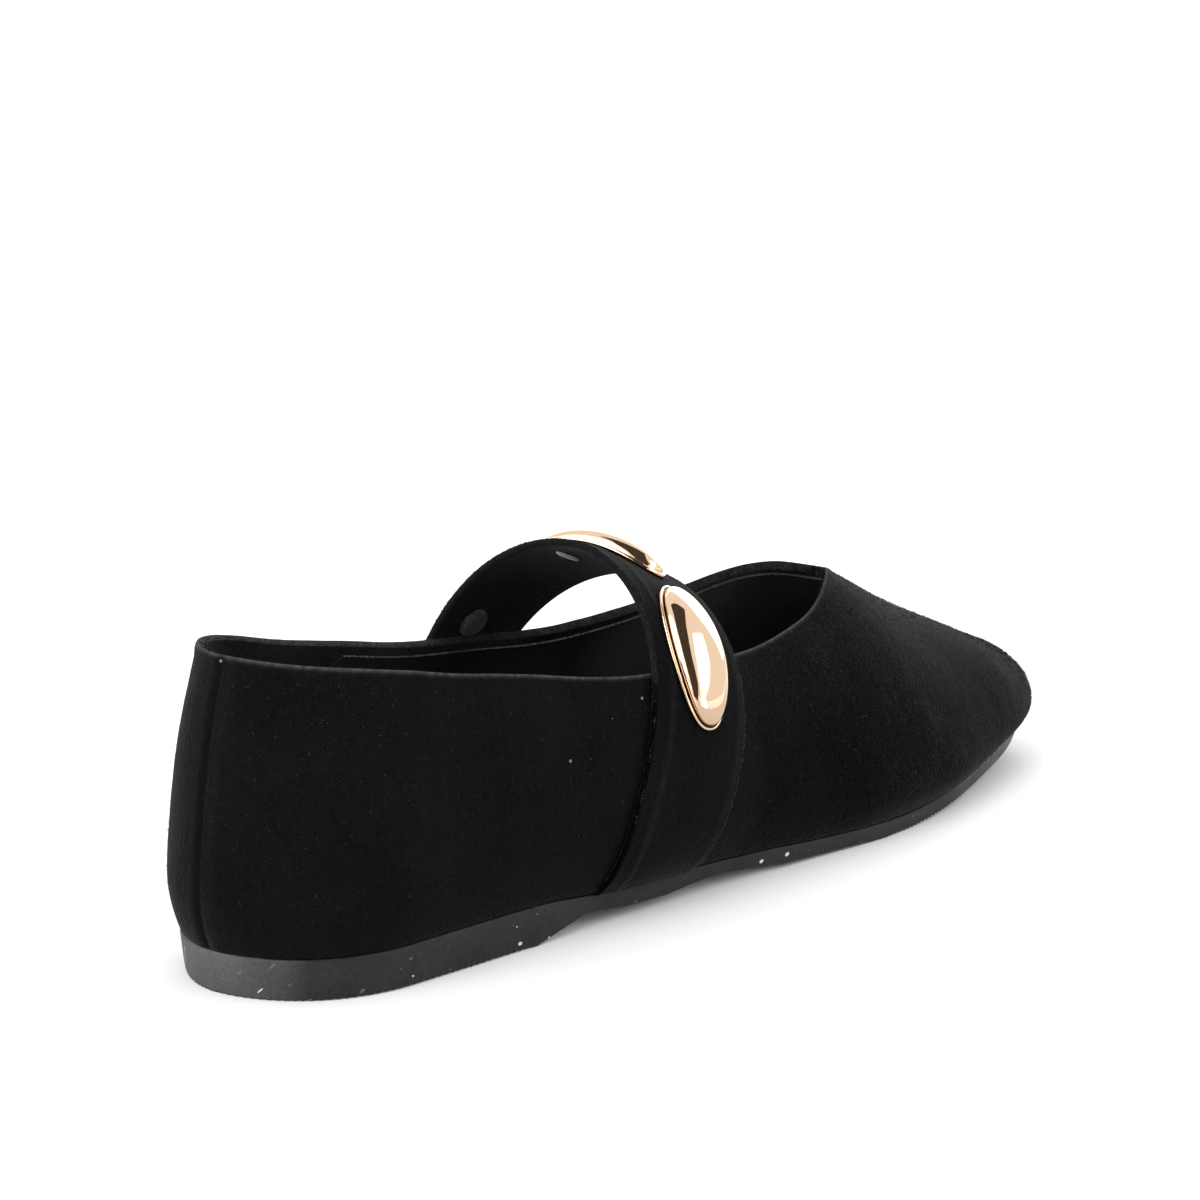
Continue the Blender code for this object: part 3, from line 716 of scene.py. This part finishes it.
def on_strap(place, offset, lift):
    """A point over the strap: place along it from the ridge, offset ahead of its middle, and lift."""
    place, offset, lift = np.broadcast_arrays(*(np.asarray(v, float) for v in (place, offset, lift)))
    points = np.zeros((*place.shape, 3))
    for side in (OUTER, INNER):
        run, turns = STRAP_TABLE[side]
        chosen = (place < 0) == (side == OUTER)
        if chosen.any():
            turn = np.interp(np.abs(place[chosen]), run, turns)
            points[chosen] = strap_face(offset[chosen], turn, side, lift[chosen])
    return points


def make_strap():
    half = STRAP_WIDTH / 2
    ends = STRAP_TABLE[OUTER][0][-1], STRAP_TABLE[INNER][0][-1]
    place = np.linspace(-ends[0], ends[1], 320)
    to_end = np.minimum(place + ends[0], ends[1] - place)
    thin = 1 - 0.6 * np.clip(1 - to_end / 0.007, 0, 1) ** 2
    # 1 where the strap is clear of the upper and 0 where it lies on it.
    above = np.clip((place + 0.044) / 0.006, 0, 1) * np.clip((0.05 - place) / 0.006, 0, 1)
    # The tone paints highlights on the two hem ridges and the rounded front edge, light on the underside
    # where it is clear of the upper, and shade on the rear edge where it lies on the upper.
    offset, lift, tone = [], [], []
    for b in np.linspace(-half + EDGE_RADIUS, half - EDGE_RADIUS, 48):
        rear = bell(b + half, REAR_HEM, 0.0007)
        front = bell(half - b, FRONT_HEM, 0.0011)
        offset.append(b)
        lift.append(STRAP_THICKNESS - 0.0001 + 0.0002 * rear + 0.00014 * front)
        tone.append(place * 0 + 0.06 * rear + 0.045 * front)
    for angle in np.linspace(60, -60, 5):
        offset.append(half - EDGE_RADIUS + EDGE_RADIUS * math.cos(math.radians(angle)))
        lift.append(STRAP_THICKNESS / 2 + (STRAP_THICKNESS / 2) * math.sin(math.radians(angle)))
        tone.append(place * 0 + 0.07)
    for b in np.linspace(half - EDGE_RADIUS, -half + EDGE_RADIUS, 16):
        offset.append(b)
        lift.append(0.0)
        tone.append(0.12 * above)
    for angle in np.linspace(240, 120, 5):
        offset.append(-half + EDGE_RADIUS + EDGE_RADIUS * math.cos(math.radians(angle)))
        lift.append(STRAP_THICKNESS / 2 + (STRAP_THICKNESS / 2) * math.sin(math.radians(angle)))
        tone.append(0.12 * above - 0.8 * (1 - above))
    offset.append(offset[0])
    lift.append(lift[0])
    tone.append(tone[0])
    ring = on_strap(place[:, None], np.array(offset)[None], np.array(lift)[None] * thin[:, None])
    bm = sheet_of(ring, around=True, tone=np.stack(tone, 1))
    bmesh.ops.holes_fill(bm, edges=[edge for edge in bm.edges if edge.is_boundary])
    bmesh.ops.recalc_face_normals(bm, faces=bm.faces)
    strap = piece_of("velvet_strap", bm, velvet_of("strap_pile", 0.0045))
    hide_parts("strap")


make_strap()


# Loose pile.
# Fibres that stand clear of the velvet, thickest along the folded collar, over the vamp and at the
# strap's hems. They soften every outline and catch the light in grey points.
FIBRES, FIBRE_LENGTH, FIBRE_RADIUS = 2**14, 0.0006, 0.00007


def fibre_roots():
    """Root, direction and length of each fibre: over the upper, along the collar, at the strap's hems."""
    chance = np.random.default_rng(11)
    counts = np.linspace(0, 8, 300)
    groups = []
    # Over the whole upper, and once more ahead of the strap.
    for side, many, ahead in ((OUTER, 4500, 0), (INNER, 1400, 0), (OUTER, 2800, 1), (INNER, 1900, 1)):
        low = sweep_of(0.52) * ahead
        sweep = low + (0.999 - low) * chance.random(many)
        collar_sweep, collar_turn = collar_line(counts, side)
        top = np.interp(sweep, collar_sweep, collar_turn, right=1.0)
        turn = TUCK_TURN * 0.6 + (top - TUCK_TURN * 0.6) * chance.random(many) ** (0.5 if ahead else 0.8)
        root, out = last_face(sweep, turn, side), slopes_on_last(sweep, turn, side)[2]
        groups.append((root, out + 0.9 * chance.standard_normal((many, 3)), 0.6 + 0.5 * chance.random(many)))
    # Along the fold of the collar.
    for side, many in ((OUTER, 1800), (INNER, 1500)):
        count = 8 * chance.random(many)
        sweep, turn = collar_line(count, side)
        low_sweep, low_turn = below_collar(count, side, 0.0003)
        root, below = last_face(sweep, turn, side), last_face(low_sweep, np.minimum(low_turn, 1.0), side)
        rise = (root - below) / np.maximum(np.linalg.norm(root - below, axis=-1, keepdims=True), 1e-9)
        out = slopes_on_last(sweep, turn, side)[2]
        root = root - rise * 0.0002 - out * SHELL_WALL * chance.random((many, 1))
        groups.append((root, rise + 0.6 * chance.standard_normal((many, 3)), 0.5 + 0.5 * chance.random(many)))
    # At the strap's two hems.
    many = FIBRES - sum(len(group[0]) for group in groups)
    ends = STRAP_TABLE[OUTER][0][-1], STRAP_TABLE[INNER][0][-1]
    place = -ends[0] + 0.008 + (sum(ends) - 0.016) * chance.random(many)
    hem = np.where(chance.random(many) < 0.5, -1, 1)
    offset = hem * (STRAP_WIDTH / 2 - 0.0002 - 0.003 * chance.random(many) ** 3)
    root = on_strap(place, offset, STRAP_THICKNESS * 0.9)
    away = unit(root - on_strap(place, 0.0, STRAP_THICKNESS * 0.2))
    groups.append((root, away + 0.7 * chance.standard_normal((many, 3)), 0.5 + 0.5 * chance.random(many)))
    root, way, length = (np.concatenate(group) for group in zip(*groups))
    return root, unit(way), length * FIBRE_LENGTH


def make_loose_pile():
    root, way, length = fibre_roots()
    bm = bmesh.new()
    bmesh.ops.create_cone(bm, cap_ends=True, segments=3, radius1=1.0, radius2=0.0, depth=2.0)
    bmesh.ops.remove_doubles(bm, verts=bm.verts, dist=0.001)
    while len(bm.verts) < 4 * FIBRES:
        bmesh.ops.duplicate(bm, geom=bm.verts[:] + bm.edges[:] + bm.faces[:])
    flat = unit(np.cross(way, (0.31, 0.2, 0.93)))
    other = np.cross(way, flat)
    placed, fibre = set(), 0
    for vert in bm.verts:
        if vert in placed:
            continue
        corners = [vert] + [edge.other_vert(vert) for edge in vert.link_edges]
        for corner in corners:
            x, y, z = corner.co
            along = (z + 1) / 2 * length[fibre] * way[fibre]
            corner.co = root[fibre] + FIBRE_RADIUS * (x * flat[fibre] + y * other[fibre]) + along
        placed.update(corners)
        fibre += 1
    rayon, shader = material_of("loose_pile", (0.05, 0.05, 0.052), 0.9, Specular_IOR_Level=0.05)
    patch = noise_of(rayon, "Object", (700, 700, 700), 2.0)
    shades = ((0.42, (0.003, 0.003, 0.003)), (0.52, (0.012, 0.012, 0.0125)), (0.66, (0.055, 0.055, 0.057)))
    tone = ramp(rayon, patch, *shades)
    rayon.node_tree.links.new(tone, shader.inputs["Base Color"])
    pile = piece_of("loose_pile", bm, rayon)
    for polygon in pile.data.polygons:
        polygon.use_smooth = False


make_loose_pile()


# Metal leaves.
# Two cast and polished studs in pale rose gold, each a thin base plate with a full dome on it,
# held by prongs through the strap.
TOP_STUD, SIDE_STUD, STUD_OFFSET = 0.0018, -0.0328, -0.0014
STUD_LENGTH, STUD_WIDTH, STUD_HEIGHT = 0.0304, 0.015, 0.0042
# From under the plate to the foot of the dome: inset, share of the outline, and height.
PLATE = (
    (0.0, 0.0, -0.00028), (0.0, 0.5, -0.00028), (0.0001, 1.0, -0.00028), (0.0, 1.0, -0.0002),
    (0.0, 1.0, 0.0005), (0.00012, 1.0, 0.00068), (0.0004, 1.0, 0.0007), (0.0005, 1.0, 0.0004),
    (0.00058, 1.0, 0.0002), (0.00078, 1.0, 0.0002), (0.00085, 1.0, 0.0004),
)
DOME_INSET, DOME_FOOT = 0.00088, 0.0006
ROSE_GOLD = (0.83, 0.60, 0.415)


def stud_ring(angle, inset, share):
    """A leaf with pointed ends, fuller behind than in front, and its lower end swung forward."""
    sine = np.sin(angle)
    upward = np.cos(angle) * (1 - inset / (STUD_LENGTH / 2)) * share
    point = 1.2 + 0.3 * np.minimum(np.cos(angle), 0)
    half = STUD_WIDTH * np.where(sine > 0, 0.44, 0.56) * np.sign(sine) * np.abs(sine) ** point
    half = half * (1 - inset / (STUD_WIDTH / 2)) * share * (1 + 0.14 * upward)
    return STUD_LENGTH / 2 * upward, half + 0.0025 * ((1 - upward) / 2) ** 2


def make_stud(name, node, place, gold):
    angle = np.linspace(0, 2 * np.pi, 121)
    rings = list(PLATE)
    for turn in np.radians(np.linspace(0, 90, 34)):
        height = DOME_FOOT + (STUD_HEIGHT - DOME_FOOT) * math.sin(turn) ** 0.9
        rings.append((DOME_INSET, math.cos(turn), height))
    base = STRAP_THICKNESS + GAP
    # Painted shade: the groove between the plate's rim and the dome is marked to be turned dark.
    shade = np.zeros((len(rings), 1))
    shade[7:11] = 1
    points = []
    for inset, share, height in rings:
        a, b = stud_ring(angle, inset, share)
        points.append(on_strap(place + a, STUD_OFFSET + b, base + height))
    stud = piece_of(name, sheet_of(np.stack(points), around=True, tone=shade), gold)
    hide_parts(node)


def make_studs():
    gold, shader = material_of("rose_gold", ROSE_GOLD, 0.05, Metallic=1.0)
    haze = noise_of(gold, "Object", (300, 300, 300), 5.0)
    rough = ramp(gold, haze, (0.35, 0.03), (0.75, 0.09))
    gold.node_tree.links.new(rough, shader.inputs["Roughness"])
    # The tone attribute marks the groove, painted dark brown as its shade.
    groove_shade = add_node(gold, "Attribute", attribute_name="tone").outputs["Fac"]
    gold_and_groove_shade = blended(gold, "MIX", groove_shade, (*ROSE_GOLD, 1), (0.06, 0.035, 0.02, 1))
    gold.node_tree.links.new(gold_and_groove_shade, shader.inputs["Base Color"])
    swell = noise_of(gold, "Object", (160, 160, 160), 1.0)
    bumped(gold, shader, swell, 0.0004, 0.12)
    make_stud("side_stud", "stud_side", SIDE_STUD, gold)
    make_stud("top_stud", "stud_top", TOP_STUD, gold)


make_studs()


# Prong and rivet.
# On the strap's inner face the top stud's bright steel prong is clenched flat, and a small round
# rivet covered in felted cloth sits just above the collar.
PRONG_PLACE, PRONG_OFFSET = 0.0065, -0.0049
PRONG_HALF_WIDTH, PRONG_HALF_LENGTH, PRONG_HEIGHT = 0.0008, 0.0036, 0.0005
RIVET_OFFSET, RIVET_RADIUS, RIVET_HEIGHT = -0.0029, 0.0033, 0.0012


def make_fastenings():
    angle = np.linspace(0, 2 * np.pi, 33)
    steel, shader = material_of("bright_steel", (0.78, 0.78, 0.76), 0.3, Metallic=0.35)
    scuff = noise_of(steel, "Object", (900, 900, 900))
    steel.node_tree.links.new(ramp(steel, scuff, (0.3, 0.25), (0.7, 0.5)), shader.inputs["Roughness"])
    wool, shader = material_of("rivet_felt", (0.02, 0.021, 0.024), 0.9, Sheen_Weight=0.1)
    felt = noise_of(wool, "Object", (1500, 1500, 1500), 4.0)
    tone = ramp(wool, felt, (0.3, (0.012, 0.0125, 0.014)), (0.7, (0.045, 0.047, 0.053)))
    wool.node_tree.links.new(tone, shader.inputs["Base Color"])
    bumped(wool, shader, felt, 0.0002, 0.8)
    run, turns = STRAP_TABLE[INNER]
    edge_sweep, edge_turn = collar_line(np.linspace(0, 8, 400), INNER)
    line = strap_face(RIVET_OFFSET, turns, INNER)
    for distance, turn, point in zip(run, turns, line):
        if turn <= np.interp(sweep_of(point[0] / SOLE_LENGTH), edge_sweep, edge_turn):
            rivet_place = distance - RIVET_RADIUS - 2 * GAP
            break
    # Shares of the outline and of the height, from the middle of the back to the middle of the front.
    rings = (
        (0.0, 0.0), (0.6, 0.0), (1.0, 0.0), (1.0, 0.4), (0.97, 0.62), (0.88, 0.84), (0.7, 0.95), (0.4, 1.0),
        (0.0, 1.0),
    )
    for name, node, slot, material, place, offset, half_a, half_b, depth in (
        (
            "clenched_prong", "stud_prong", "prong_steel", steel,
            PRONG_PLACE, PRONG_OFFSET, PRONG_HALF_WIDTH, PRONG_HALF_LENGTH, PRONG_HEIGHT,
        ),
        (
            "cloth_rivet", "strap_rivet", "rivet_cloth", wool,
            rivet_place, RIVET_OFFSET, RIVET_RADIUS, RIVET_RADIUS, RIVET_HEIGHT,
        ),
    ):
        a, b = half_a * np.cos(angle), half_b * np.sin(angle)
        points = [on_strap(place + a * share, offset + b * share, -GAP - low * depth) for share, low in rings]
        piece = piece_of(name, sheet_of(np.stack(points), around=True), material)
        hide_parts(node)


make_fastenings()


# Floor, light and camera.
# A white floor under an even white sky, with three soft boxes that give no highlight, and cards
# round the shoe that only the polished metal sees.
def make_studio():
    bm = bmesh.new()
    bmesh.ops.create_grid(bm, x_segments=1, y_segments=1, size=4)
    mesh = bpy.data.meshes.new("floor")
    bm.to_mesh(mesh)
    bm.free()
    paper, _ = material_of("white_paper", (0.97, 0.97, 0.97), 0.9, Specular_IOR_Level=0.0)
    mesh.materials.append(paper)
    floor = bpy.data.objects.new("floor", mesh)
    bpy.context.scene.collection.objects.link(floor)

    world = bpy.data.worlds.new("white_studio")
    world.use_nodes = True
    background = world.node_tree.nodes["Background"]
    background.inputs["Color"].default_value = (1, 1, 1, 1)
    background.inputs["Strength"].default_value = 1.06
    bpy.context.scene.world = world
    bpy.context.scene.view_settings.view_transform = "Standard"

    near_stud = Vector((-0.02, -0.028, 0.04))

    def seen_from_stud(azimuth, height, distance):
        turn, rise = math.radians(azimuth), math.radians(height)
        flat = math.cos(rise) * distance
        return near_stud + Vector((flat * math.cos(turn), flat * math.sin(turn), distance * math.sin(rise)))

    for name, azimuth, height, wide, tall, energy in (
        ("side_box", -66, 24, 0.8, 0.56, 3.5),
        ("heel_box", -178, 26, 0.9, 0.85, 8.0),
        ("toe_box", 33, 26, 0.85, 0.55, 4.5),
    ):
        lamp = bpy.data.lights.new(name, "AREA")
        lamp.energy = energy
        lamp.shape = "RECTANGLE"
        lamp.size = wide
        lamp.size_y = tall
        light = bpy.data.objects.new(name, lamp)
        light.location = seen_from_stud(azimuth, height, 1.2)
        light.rotation_euler = (near_stud - light.location).to_track_quat("-Z", "Y").to_euler()
        light.visible_glossy = False
        bpy.context.scene.collection.objects.link(light)

    felt, _ = material_of("card_felt", (0.045, 0.038, 0.033), 1.0, Specular_IOR_Level=0.0)
    white = (1, 1, 1, 1)
    cloth, _ = material_of("box_cloth", (0, 0, 0), 1.0, Emission_Color=white, Emission_Strength=3.2)
    sand, _ = material_of("mat_cloth", (0, 0, 0), 1.0, Emission_Color=white, Emission_Strength=0.85)
    # Each corner is its azimuth and height in degrees, and a distance where it differs from the card's.
    for name, material, distance, edge in (
        ("dark_card", felt, 0.9, (
            (87, 72), (-12, 52), (-54, 58), (-84, 50), (-99, 38), (-104, 26), (-109, 15), (-120, 4),
            (-155, 4), (-153, 18), (-154, 30), (-154, 49), (-166, 66), (172, 80),
        )),
        ("bar_cloth", cloth, 0.8, (
            (-53, 48), (-31, 35), (-51, 23), (-70, 13), (-92, 3), (-109, 3), (-100, 16), (-89, 28),
            (-77, 39),
        )),
        ("dark_foot", felt, 0.88, ((-120, 5), (-138, -10, 0.21), (-165, -12, 0.17), (-155, 5))),
        ("bar_foot", cloth, 0.78, ((-91, 4), (-96, -12, 0.17), (-126, -12, 0.17), (-109, 4))),
        ("grey_mat", sand, 0.8, ((-5, -2.4, 0.9), (-5, -30, 0.075), (-160, -30, 0.075), (-160, -2.4, 0.9))),
        ("heel_cloth", cloth, 1.0, (
            (117, 19), (131, 8), (154, 2), (-162, 4), (-159, 24), (-162, 46), (-176, 68), (140, 60),
        )),
        ("toe_cloth", cloth, 1.0, (
            (76, 29), (45, 40), (11, 43), (-12, 32), (-15, 21), (-12, 7), (0, 2), (30, 2), (60, 2), (80, 6),
        )),
    ):
        bm = bmesh.new()
        corners = []
        for azimuth, height, *near in edge:
            place = seen_from_stud(azimuth, height, near[0] if near else distance)
            corners.append(bmesh.ops.create_vert(bm, co=place)["vert"][0])
        bmesh.ops.contextual_create(bm, geom=corners)
        bmesh.ops.triangulate(bm, faces=bm.faces)
        mesh = bpy.data.meshes.new(name)
        bm.to_mesh(mesh)
        bm.free()
        mesh.materials.append(material)
        card = bpy.data.objects.new(name, mesh)
        card.visible_camera = False
        card.visible_diffuse = False
        card.visible_shadow = False
        bpy.context.scene.collection.objects.link(card)

    lens = bpy.data.cameras.new("camera")
    lens.lens = 93.405
    lens.sensor_width = 36
    camera = bpy.data.objects.new("camera", lens)
    camera.location = (-0.4867, -0.4047, 0.1855)
    camera.rotation_euler = Vector((0.7417, 0.6386, -0.205)).to_track_quat("-Z", "Y").to_euler()
    bpy.context.scene.collection.objects.link(camera)
    bpy.context.scene.camera = camera


make_studio()
